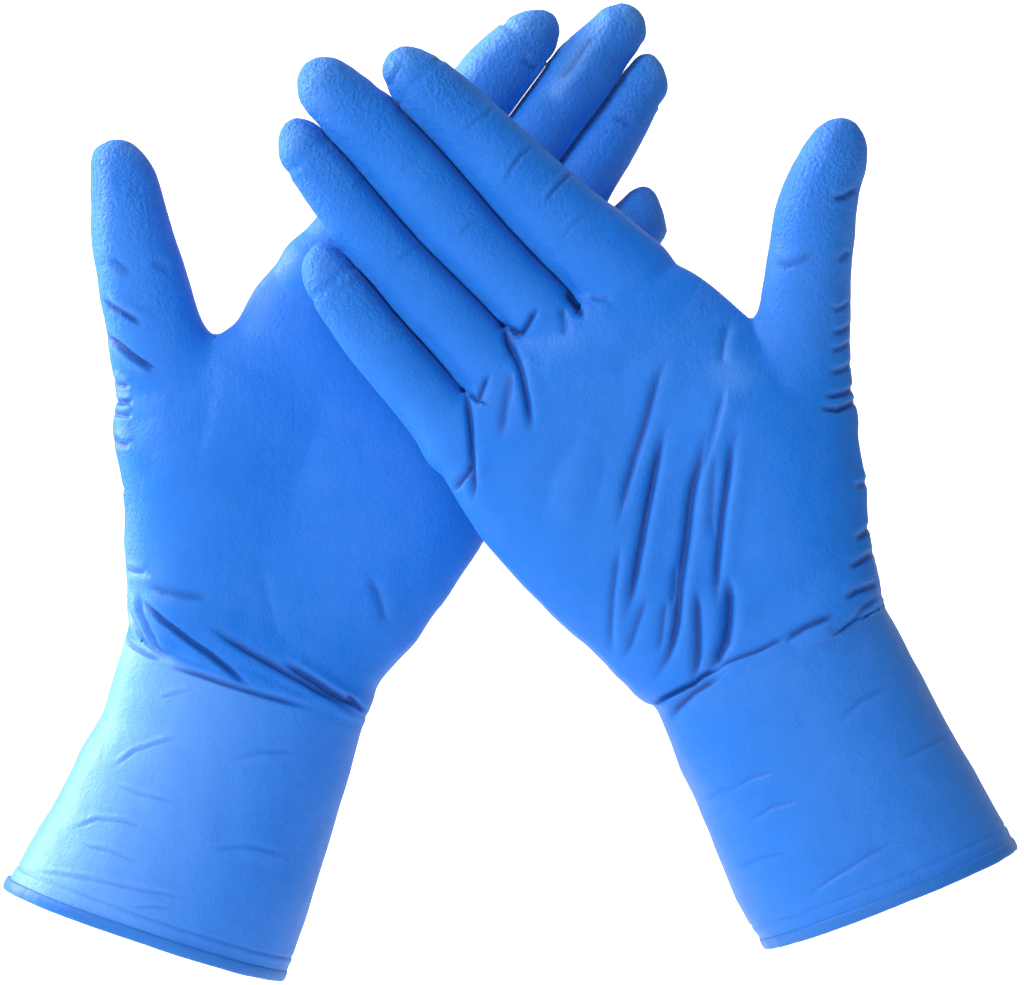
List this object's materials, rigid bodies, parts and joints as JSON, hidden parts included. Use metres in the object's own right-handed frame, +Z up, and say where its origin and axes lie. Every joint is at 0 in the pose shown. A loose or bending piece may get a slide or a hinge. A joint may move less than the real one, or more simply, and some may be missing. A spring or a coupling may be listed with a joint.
{
  "type": "rubber gloves",
  "caption": "Pair of long-cuff disposable rubber gloves, palms forward and crossed, with open cuffs, rolled rims and fingers that bend at their folds",
  "frame": {"origin": "bottom centre of the pair: below the middle of its width, on the plane of its lowest rim point, midway between the two gloves", "axes": "+Z up along the hands toward the fingertips, -Y the side both palms face, +X toward the right glove's cuff; the right glove is in front (-Y), the left glove behind (+Y)"},
  "size_m": [0.2526, 0.088, 0.2468],
  "materials": {
    "palm": "satin",
    "fingers": "satin, fine texture",
    "thumb": "satin, fine texture",
    "cuff": "satin",
    "bead": "satin"
  },
  "bodies": {
    "left_palm": {"left_palm": "palm"},
    "left_cuff": {"left_cuff": "cuff", "left_rolled_bead": "bead"},
    "left_index_base": {"left_index_base": "fingers"},
    "left_index_middle": {"left_index_middle": "fingers"},
    "left_index_tip": {"left_index_tip": "fingers"},
    "left_middle_base": {"left_middle_base": "fingers"},
    "left_middle_middle": {"left_middle_middle": "fingers"},
    "left_middle_tip": {"left_middle_tip": "fingers"},
    "left_ring_base": {"left_ring_base": "fingers"},
    "left_ring_middle": {"left_ring_middle": "fingers"},
    "left_ring_tip": {"left_ring_tip": "fingers"},
    "left_little_base": {"left_little_base": "fingers"},
    "left_little_middle": {"left_little_middle": "fingers"},
    "left_little_tip": {"left_little_tip": "fingers"},
    "left_thumb_base": {"left_thumb_base": "thumb"},
    "left_thumb_tip": {"left_thumb_tip": "thumb"},
    "right_palm": {"right_palm": "palm"},
    "right_cuff": {"right_cuff": "cuff", "right_rolled_bead": "bead"},
    "right_index_base": {"right_index_base": "fingers"},
    "right_index_middle": {"right_index_middle": "fingers"},
    "right_index_tip": {"right_index_tip": "fingers"},
    "right_middle_base": {"right_middle_base": "fingers"},
    "right_middle_middle": {"right_middle_middle": "fingers"},
    "right_middle_tip": {"right_middle_tip": "fingers"},
    "right_ring_base": {"right_ring_base": "fingers"},
    "right_ring_middle": {"right_ring_middle": "fingers"},
    "right_ring_tip": {"right_ring_tip": "fingers"},
    "right_little_base": {"right_little_base": "fingers"},
    "right_little_middle": {"right_little_middle": "fingers"},
    "right_little_tip": {"right_little_tip": "fingers"},
    "right_thumb_base": {"right_thumb_base": "thumb"},
    "right_thumb_tip": {"right_thumb_tip": "thumb"}
  },
  "joints": [
    {"name": "left_wrist_fold", "type": "hinge", "parent": "left_palm", "child": "left_cuff", "pos_m": [-0.06596, 0.016, 0.07794], "axis": [-0.9319, 0, 0.3628], "range_deg": [-20, 20], "stiffness_Nm_per_rad": 0.02},
    {"name": "left_index_root_fold", "type": "hinge", "parent": "left_palm", "child": "left_index_base", "pos_m": [-0.03255, 0.01466, 0.19341], "axis": [0.755, 0, -0.6557], "range_deg": [-20, 35], "stiffness_Nm_per_rad": 0.003},
    {"name": "left_index_mid_fold", "type": "hinge", "parent": "left_index_base", "child": "left_index_middle", "pos_m": [-0.01733, 0.0183, 0.21197], "axis": [0.755, 0, -0.6557], "range_deg": [-20, 45], "stiffness_Nm_per_rad": 0.002},
    {"name": "left_index_end_fold", "type": "hinge", "parent": "left_index_middle", "child": "left_index_tip", "pos_m": [-0.0033, 0.02168, 0.22892], "axis": [0.755, 0, -0.6557], "range_deg": [-13, 29.25], "stiffness_Nm_per_rad": 0.001},
    {"name": "left_middle_root_fold", "type": "hinge", "parent": "left_palm", "child": "left_middle_base", "pos_m": [-0.01088, 0.01616, 0.1888], "axis": [0.808, 0, -0.5891], "range_deg": [-20, 35], "stiffness_Nm_per_rad": 0.003},
    {"name": "left_middle_mid_fold", "type": "hinge", "parent": "left_middle_base", "child": "left_middle_middle", "pos_m": [0.00385, 0.0198, 0.209], "axis": [0.808, 0, -0.5891], "range_deg": [-20, 45], "stiffness_Nm_per_rad": 0.002},
    {"name": "left_middle_end_fold", "type": "hinge", "parent": "left_middle_middle", "child": "left_middle_tip", "pos_m": [0.0174, 0.02303, 0.22759], "axis": [0.808, 0, -0.5891], "range_deg": [-13, 29.25], "stiffness_Nm_per_rad": 0.001},
    {"name": "left_ring_root_fold", "type": "hinge", "parent": "left_palm", "child": "left_ring_base", "pos_m": [0.00564, 0.01635, 0.17729], "axis": [0.8667, 0, -0.4989], "range_deg": [-20, 35], "stiffness_Nm_per_rad": 0.003},
    {"name": "left_ring_mid_fold", "type": "hinge", "parent": "left_ring_base", "child": "left_ring_middle", "pos_m": [0.01632, 0.01961, 0.19653], "axis": [0.8667, 0, -0.4989], "range_deg": [-20, 45], "stiffness_Nm_per_rad": 0.002},
    {"name": "left_ring_end_fold", "type": "hinge", "parent": "left_ring_middle", "child": "left_ring_tip", "pos_m": [0.02705, 0.02288, 0.21458], "axis": [0.8667, 0, -0.4989], "range_deg": [-13, 29.25], "stiffness_Nm_per_rad": 0.001},
    {"name": "left_little_root_fold", "type": "hinge", "parent": "left_palm", "child": "left_little_base", "pos_m": [0.01458, 0.01652, 0.16105], "axis": [0.8845, 0, -0.4665], "range_deg": [-20, 35], "stiffness_Nm_per_rad": 0.003},
    {"name": "left_little_mid_fold", "type": "hinge", "parent": "left_little_base", "child": "left_little_middle", "pos_m": [0.02138, 0.01867, 0.17386], "axis": [0.8845, 0, -0.4665], "range_deg": [-20, 45], "stiffness_Nm_per_rad": 0.002},
    {"name": "left_little_end_fold", "type": "hinge", "parent": "left_little_middle", "child": "left_little_tip", "pos_m": [0.02828, 0.02071, 0.18604], "axis": [0.8845, 0, -0.4665], "range_deg": [-13, 29.25], "stiffness_Nm_per_rad": 0.001},
    {"name": "left_thumb_root_fold", "type": "hinge", "parent": "left_palm", "child": "left_thumb_base", "pos_m": [-0.09012, 0.01032, 0.1702], "axis": [0.9798, 0, 0.1997], "range_deg": [-10, 50], "stiffness_Nm_per_rad": 0.003},
    {"name": "left_thumb_end_fold", "type": "hinge", "parent": "left_thumb_base", "child": "left_thumb_tip", "pos_m": [-0.0947, 0.00879, 0.18967], "axis": [0.9798, 0, 0.1997], "range_deg": [-5, 70], "stiffness_Nm_per_rad": 0.001},
    {"name": "right_wrist_fold", "type": "hinge", "parent": "right_palm", "child": "right_cuff", "pos_m": [0.06532, -0.016, 0.08322], "axis": [-0.9002, 0, -0.4355], "range_deg": [-20, 20], "stiffness_Nm_per_rad": 0.02},
    {"name": "right_index_root_fold", "type": "hinge", "parent": "right_palm", "child": "right_index_base", "pos_m": [0.02002, -0.02076, 0.18571], "axis": [0.6974, 0, 0.7167], "range_deg": [-6, 75], "stiffness_Nm_per_rad": 0.003},
    {"name": "right_index_mid_fold", "type": "hinge", "parent": "right_index_base", "child": "right_index_middle", "pos_m": [0.00242, -0.02295, 0.20204], "axis": [0.6974, 0, 0.7167], "range_deg": [-6, 75], "stiffness_Nm_per_rad": 0.002},
    {"name": "right_index_end_fold", "type": "hinge", "parent": "right_index_middle", "child": "right_index_tip", "pos_m": [-0.01323, -0.02471, 0.2175], "axis": [0.6974, 0, 0.7167], "range_deg": [-3.9, 48.75], "stiffness_Nm_per_rad": 0.001},
    {"name": "right_middle_root_fold", "type": "hinge", "parent": "right_palm", "child": "right_middle_base", "pos_m": [-0.0003, -0.02064, 0.17771], "axis": [0.7186, 0, 0.6954], "range_deg": [-6, 75], "stiffness_Nm_per_rad": 0.003},
    {"name": "right_middle_mid_fold", "type": "hinge", "parent": "right_middle_base", "child": "right_middle_middle", "pos_m": [-0.01735, -0.02338, 0.196], "axis": [0.7186, 0, 0.6954], "range_deg": [-6, 75], "stiffness_Nm_per_rad": 0.002},
    {"name": "right_middle_end_fold", "type": "hinge", "parent": "right_middle_middle", "child": "right_middle_tip", "pos_m": [-0.03309, -0.02538, 0.21277], "axis": [0.7186, 0, 0.6954], "range_deg": [-3.9, 48.75], "stiffness_Nm_per_rad": 0.001},
    {"name": "right_ring_root_fold", "type": "hinge", "parent": "right_palm", "child": "right_ring_base", "pos_m": [-0.01325, -0.02042, 0.16582], "axis": [0.757, 0, 0.6534], "range_deg": [-6, 75], "stiffness_Nm_per_rad": 0.003},
    {"name": "right_ring_mid_fold", "type": "hinge", "parent": "right_ring_base", "child": "right_ring_middle", "pos_m": [-0.02791, -0.02232, 0.18157], "axis": [0.757, 0, 0.6534], "range_deg": [-6, 75], "stiffness_Nm_per_rad": 0.002},
    {"name": "right_ring_end_fold", "type": "hinge", "parent": "right_ring_middle", "child": "right_ring_tip", "pos_m": [-0.04149, -0.02431, 0.19759], "axis": [0.757, 0, 0.6534], "range_deg": [-3.9, 48.75], "stiffness_Nm_per_rad": 0.001},
    {"name": "right_little_root_fold", "type": "hinge", "parent": "right_palm", "child": "right_little_base", "pos_m": [-0.02144, -0.02025, 0.14897], "axis": [0.7791, 0, 0.6269], "range_deg": [-6, 75], "stiffness_Nm_per_rad": 0.003},
    {"name": "right_little_mid_fold", "type": "hinge", "parent": "right_little_base", "child": "right_little_middle", "pos_m": [-0.03051, -0.02151, 0.15964], "axis": [0.7791, 0, 0.6269], "range_deg": [-6, 75], "stiffness_Nm_per_rad": 0.002},
    {"name": "right_little_end_fold", "type": "hinge", "parent": "right_little_middle", "child": "right_little_tip", "pos_m": [-0.03914, -0.02268, 0.17067], "axis": [0.7791, 0, 0.6269], "range_deg": [-3.9, 48.75], "stiffness_Nm_per_rad": 0.001},
    {"name": "right_thumb_root_fold", "type": "hinge", "parent": "right_palm", "child": "right_thumb_base", "pos_m": [0.07416, -0.02184, 0.17242], "axis": [0.992, 0, -0.1266], "range_deg": [-10, 50], "stiffness_Nm_per_rad": 0.003},
    {"name": "right_thumb_end_fold", "type": "hinge", "parent": "right_thumb_base", "child": "right_thumb_tip", "pos_m": [0.07702, -0.0234, 0.19322], "axis": [0.992, 0, -0.1266], "range_deg": [-5, 70], "stiffness_Nm_per_rad": 0.001},
    {"name": "gloves_apart", "type": "slide", "parent": "left_palm", "child": "right_palm", "axis": [0, -1, 0], "range_m": [0, 0.15]}
  ],
  "couplings": [
    {"joint": "left_index_end_fold", "follows": "left_index_mid_fold", "ratio": 0.65},
    {"joint": "left_middle_end_fold", "follows": "left_middle_mid_fold", "ratio": 0.65},
    {"joint": "left_ring_end_fold", "follows": "left_ring_mid_fold", "ratio": 0.65},
    {"joint": "left_little_end_fold", "follows": "left_little_mid_fold", "ratio": 0.65},
    {"joint": "right_index_end_fold", "follows": "right_index_mid_fold", "ratio": 0.65},
    {"joint": "right_middle_end_fold", "follows": "right_middle_mid_fold", "ratio": 0.65},
    {"joint": "right_ring_end_fold", "follows": "right_ring_mid_fold", "ratio": 0.65},
    {"joint": "right_little_end_fold", "follows": "right_little_mid_fold", "ratio": 0.65}
  ]
}
